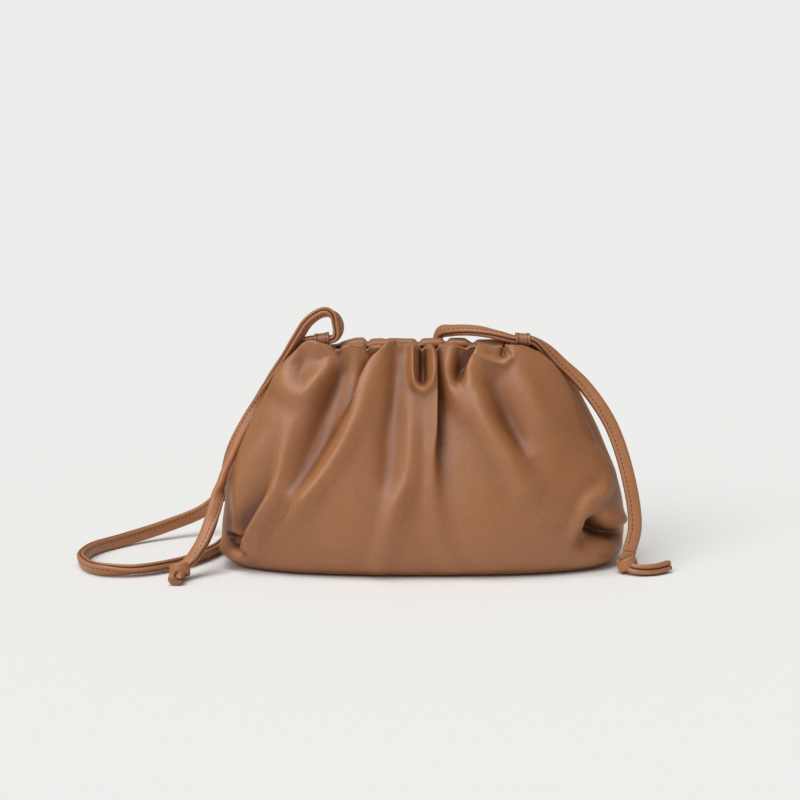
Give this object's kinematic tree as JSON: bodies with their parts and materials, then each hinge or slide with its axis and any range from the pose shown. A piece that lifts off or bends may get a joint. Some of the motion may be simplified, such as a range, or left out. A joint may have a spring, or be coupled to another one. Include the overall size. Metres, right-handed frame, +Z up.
{
  "type": "cloud pouch bag",
  "caption": "Soft gathered leather pouch bag with a straight barred mouth and a long narrow strap, run through keepers and knotted at its ends.",
  "frame": {"origin": "middle of the resting base, on the floor", "axes": "+Z up, the front faces -Y, +X along the mouth to the right seen from the front"},
  "size_m": [0.3506, 0.1268, 0.1521],
  "materials": {
    "body_leather": "smooth tan leather, satin",
    "bar_leather": "smooth tan leather over a bar, satin",
    "keeper_leather": "smooth tan leather, stitched",
    "strap_leather": "folded tan leather, stitched, cut edges"
  },
  "bodies": {
    "root": {"pouch_body": "body_leather", "front_mouth_bar": "bar_leather", "back_mouth_bar": "bar_leather", "left_keeper": "keeper_leather", "right_keeper": "keeper_leather", "shoulder_strap": "strap_leather", "left_knot": "strap_leather", "right_knot": "strap_leather"}
  },
  "joints": []
}
